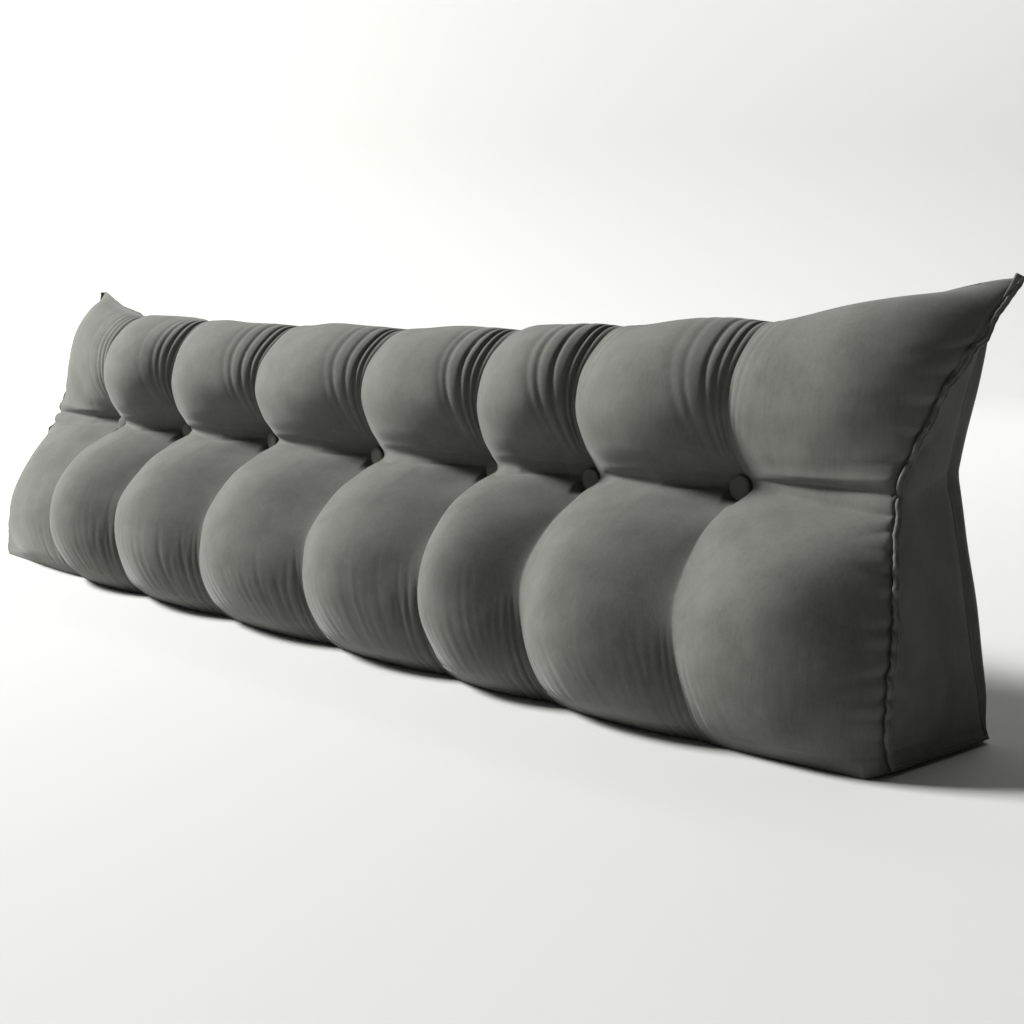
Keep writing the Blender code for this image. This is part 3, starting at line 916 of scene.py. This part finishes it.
class PILLOW_OT_end_seams(bpy.types.Operator):
    """Builds the raised double seam around each end panel"""

    bl_idname = "pillow.end_seams"
    bl_label = "Raised end seams"

    def execute(self, context):
        sizes = context.scene.pillow_sizes
        colours = context.scene.pillow_colours
        cloth = brushed_cloth("seam_cloth", colours.cloth, colours.nap, grain=0.8)
        for name, side, seed in (("left", -1.0, 31), ("right", 1.0, 37)):
            loop = evenly(SEAMS[name], SEAM_POINTS)
            away = outward(loop[:, 1:])
            for _ in range(6):
                away = (away + np.roll(away, 1, axis=0) + np.roll(away, -1, axis=0)) / 3
            away /= np.linalg.norm(away, axis=1)[:, None]
            past_front = -loop[:, 1] + 0.115 + (loop[:, 2] - 0.42).clip(0) * 0.8
            in_front = ease(past_front / 0.02) * ease(loop[:, 2] / 0.012)
            wander = seam_wander(loop, seed) * (0.3 + 0.7 * in_front)
            width = sizes.welt_width * (0.55 + 0.45 * in_front) / 2
            height = sizes.welt_height * (0.30 + 0.70 * in_front)
            across = np.linspace(-0.95, 0.95, 19)
            ridges = [(t, 0.25 + 0.75 * abs(math.sin(math.pi * t)) ** 0.8) for t in across]
            profile = [(-1.0, -0.4), *ridges, (1.0, -0.4), (0.0, -0.8)]
            rings = []
            for t, rise in profile:
                offset = t * width + wander - width - 0.0005
                place = loop.copy()
                place[:, 0] += side * (0.0030 * in_front + 0.0020 + rise * height)
                place[:, 1] += away[:, 0] * offset
                place[:, 2] += away[:, 1] * offset
                rings.append(np.vstack([place, place[:1]]))
            rings.append(rings[0])
            grid = np.array(rings)
            grid[:, :, 2] = np.maximum(grid[:, :, 2], 0.0006)
            made = bmesh.new()
            laid_on(made, grid)
            bmesh.ops.remove_doubles(made, verts=made.verts, dist=0.00001)
            piece = finished("end_seam_" + name, made, cloth)
            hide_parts("seam_welt_" + name)
            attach(piece, "root")
        return {"FINISHED"}


def lamp(name, place, aim, size, power, colour):
    """A soft square studio light that points at a place."""
    data = bpy.data.lights.new(name, "AREA")
    data.shape = "SQUARE"
    data.size = size
    data.energy = power
    data.color = colour
    made = bpy.data.objects.new(name, data)
    made.location = place
    made.rotation_euler = (Vector(aim) - Vector(place)).to_track_quat("-Z", "Y").to_euler()
    bpy.context.scene.collection.objects.link(made)
    return made


class PILLOW_OT_stage(bpy.types.Operator):
    """Sets out the floor, the backdrop, the soft lights and the camera"""

    bl_idname = "pillow.stage"
    bl_label = "Stage"

    def execute(self, context):
        colours = context.scene.pillow_colours
        scene = context.scene
        made = bmesh.new()
        bend = []
        for k in range(13):
            angle = math.pi / 2 * k / 12
            bend.append((6.0 + 1.5 * math.sin(angle), 1.5 - 1.5 * math.cos(angle)))
        profile = [(-9.0, 0.0), (3.0, 0.0), *bend, (7.5, 7.0)]
        points = [made.verts.new((-14.0, y, z)) for y, z in profile]
        edges = [made.edges.new(pair) for pair in zip(points, points[1:])]
        sweep = bmesh.ops.extrude_edge_only(made, edges=edges)
        moved = [item for item in sweep["geom"] if isinstance(item, bmesh.types.BMVert)]
        bmesh.ops.translate(made, verts=moved, vec=(28.0, 0.0, 0.0))
        facing = Vector((0, 1, 0)).rotation_difference(Vector((-0.74, 0.67, 0))).to_matrix()
        bmesh.ops.rotate(made, verts=made.verts, cent=(0, 0, 0), matrix=facing)
        floor = finished("floor", made, plain_finish("stage_paint", colours.floor, 0.9))

        lamp("key", *KEY_LAMP)
        lamp("backdrop", *BACKDROP_LAMP)
        world = bpy.data.worlds.new("studio")
        world.use_nodes = True
        world.node_tree.nodes["Background"].inputs["Color"].default_value = (1.0, 1.0, 1.0, 1.0)
        world.node_tree.nodes["Background"].inputs["Strength"].default_value = ROOM_LIGHT
        scene.world = world
        scene.view_settings.view_transform = "Standard"

        data = bpy.data.cameras.new("camera")
        data.sensor_width = 36.0
        data.lens = CAMERA_LENS
        camera = bpy.data.objects.new("camera", data)
        camera.location = CAMERA_PLACE
        level = math.cos(CAMERA_PITCH)
        across, ahead = -math.sin(CAMERA_AZIMUTH) * level, math.cos(CAMERA_AZIMUTH) * level
        look = Vector((across, ahead, -math.sin(CAMERA_PITCH)))
        camera.rotation_euler = look.to_track_quat("-Z", "Y").to_euler()
        scene.collection.objects.link(camera)
        scene.camera = camera
        return {"FINISHED"}


class PILLOW_PT_panel(bpy.types.Panel):
    """Lists the pieces"""

    bl_idname = "PILLOW_PT_panel"
    bl_label = "Backrest Pillow"
    bl_space_type = "VIEW_3D"
    bl_region_type = "UI"
    bl_category = "Pillow"

    def draw(self, context):
        for group in (context.scene.pillow_sizes, context.scene.pillow_colours):
            for name in group.__annotations__:
                self.layout.prop(group, name)
        for piece in PIECES:
            self.layout.operator(piece.bl_idname)


PIECES = (PILLOW_OT_cushion, PILLOW_OT_buttons, PILLOW_OT_end_seams, PILLOW_OT_stage)
CLASSES = (PillowSizes, PillowColours, *PIECES, PILLOW_PT_panel)


def register():
    for item in CLASSES:
        bpy.utils.register_class(item)
    bpy.types.Scene.pillow_sizes = bpy.props.PointerProperty(type=PillowSizes)
    bpy.types.Scene.pillow_colours = bpy.props.PointerProperty(type=PillowColours)


def unregister():
    del bpy.types.Scene.pillow_colours
    del bpy.types.Scene.pillow_sizes
    for item in reversed(CLASSES):
        bpy.utils.unregister_class(item)


def main():
    register()
    bpy.ops.pillow.cushion()
    bpy.ops.pillow.buttons()
    bpy.ops.pillow.end_seams()
    bpy.ops.pillow.stage()


if __name__ == "__main__":
    main()
